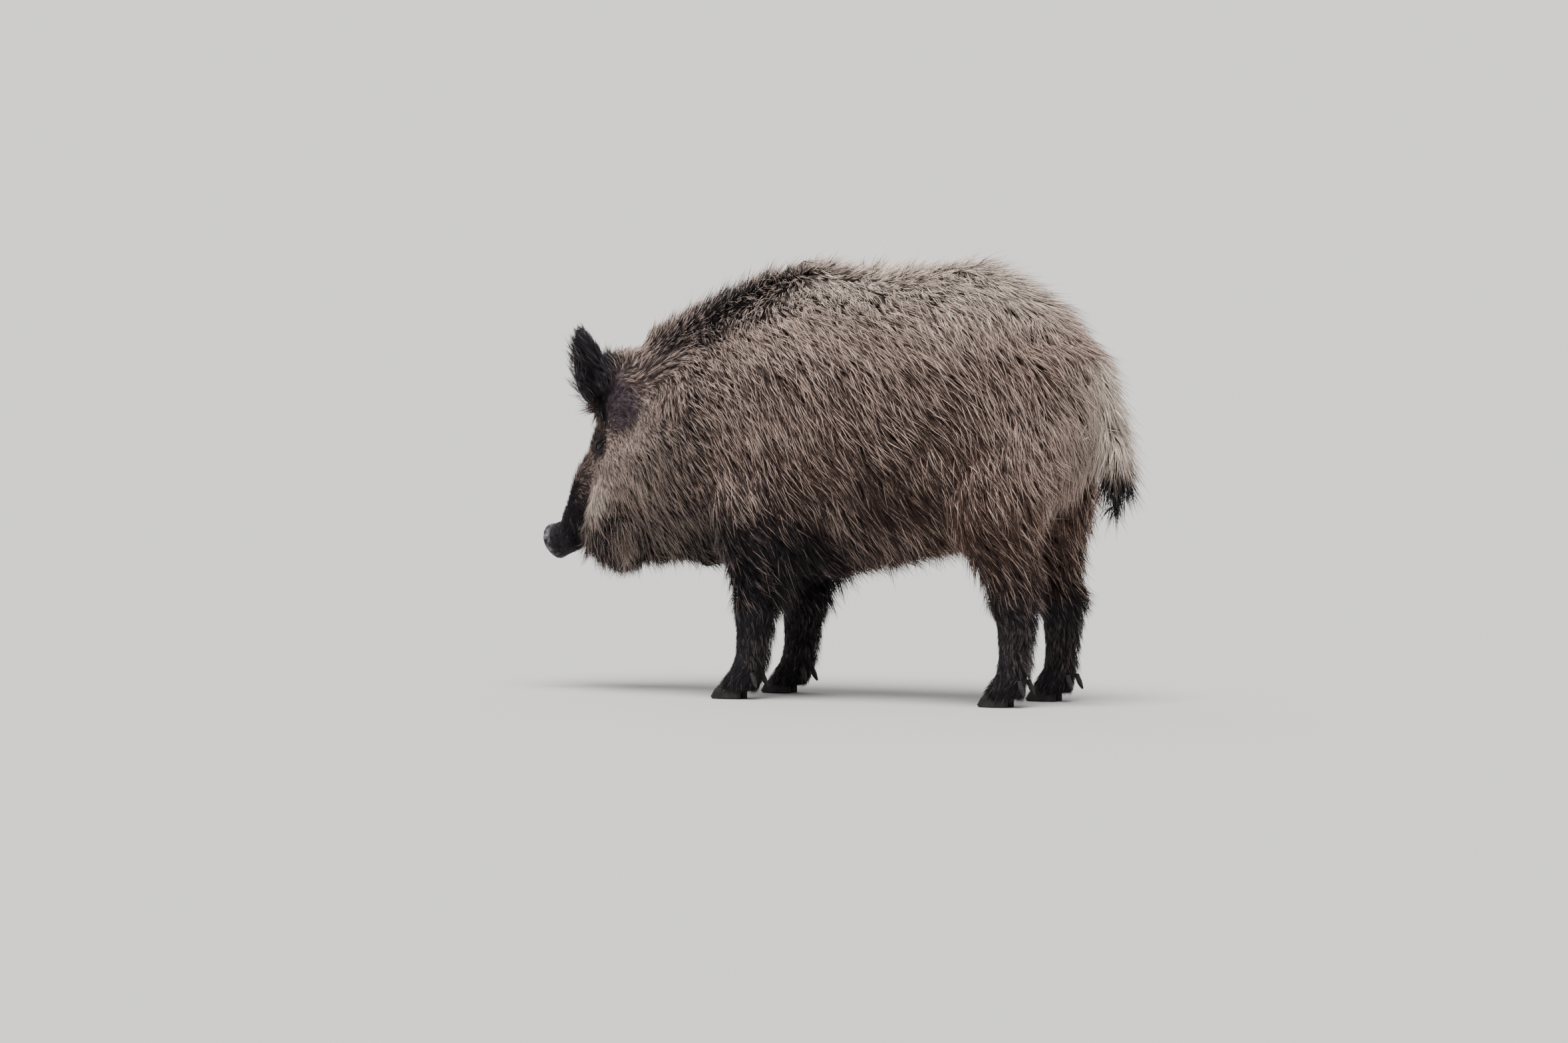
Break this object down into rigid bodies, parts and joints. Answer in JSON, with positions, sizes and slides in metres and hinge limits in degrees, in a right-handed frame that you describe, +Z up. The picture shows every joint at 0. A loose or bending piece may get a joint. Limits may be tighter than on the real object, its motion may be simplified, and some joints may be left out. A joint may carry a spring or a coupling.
{
  "type": "wild boar",
  "caption": "Life-size standing young wild boar in winter coat, head lowered, narrow body on short legs, upright ears, hanging tufted tail.",
  "frame": {"origin": "middle of the bounding box in plan, at the level of the claws' soles", "axes": "+Z up, -Y the way the boar faces, +X its left side"},
  "size_m": [0.3442, 1.1358, 0.7815],
  "materials": {
    "coat_body": "dense grizzled bristles over soft underwool",
    "coat_head": "short grey-beige bristles",
    "coat_leg": "short blackish brown bristles",
    "coat_ear": "thin dark hair over mauve-grey skin",
    "coat_tail": "pale cream bristles with a dark tip",
    "snout_skin": "bare wrinkled grey skin, slightly moist",
    "eye": "wet dark brown eye",
    "claw": "worn dark horn with lighter grooves"
  },
  "bodies": {
    "root": {"eye_right": "eye", "eye_left": "eye", "foreleg_left_claw_inner": "claw", "foreleg_left_dewclaw_inner": "claw", "foreleg_left_claw_outer": "claw", "foreleg_left_dewclaw_outer": "claw", "foreleg_right_claw_inner": "claw", "foreleg_right_dewclaw_inner": "claw", "foreleg_right_claw_outer": "claw", "foreleg_right_dewclaw_outer": "claw", "hind_leg_left_claw_inner": "claw", "hind_leg_left_dewclaw_inner": "claw", "hind_leg_left_claw_outer": "claw", "hind_leg_left_dewclaw_outer": "claw", "hind_leg_right_claw_inner": "claw", "hind_leg_right_dewclaw_inner": "claw", "hind_leg_right_claw_outer": "claw", "hind_leg_right_dewclaw_outer": "claw", "ear_left": "coat_ear", "ear_right": "coat_ear", "snout": "snout_skin", "lower_jaw": "coat_head", "muzzle": "coat_head", "head": "coat_head", "tail_tip": "coat_tail", "tail": "coat_tail", "foreleg_left_foot": "coat_leg", "foreleg_left_forearm": "coat_leg", "foreleg_left_shoulder": "coat_leg", "foreleg_right_foot": "coat_leg", "foreleg_right_forearm": "coat_leg", "foreleg_right_shoulder": "coat_leg", "hind_leg_left_foot": "coat_leg", "hind_leg_left_shank": "coat_leg", "hind_leg_left_thigh": "coat_leg", "hind_leg_right_foot": "coat_leg", "hind_leg_right_shank": "coat_leg", "hind_leg_right_thigh": "coat_leg", "neck": "coat_body", "chest": "coat_body", "belly": "coat_body", "rump": "coat_body"}
  },
  "joints": []
}
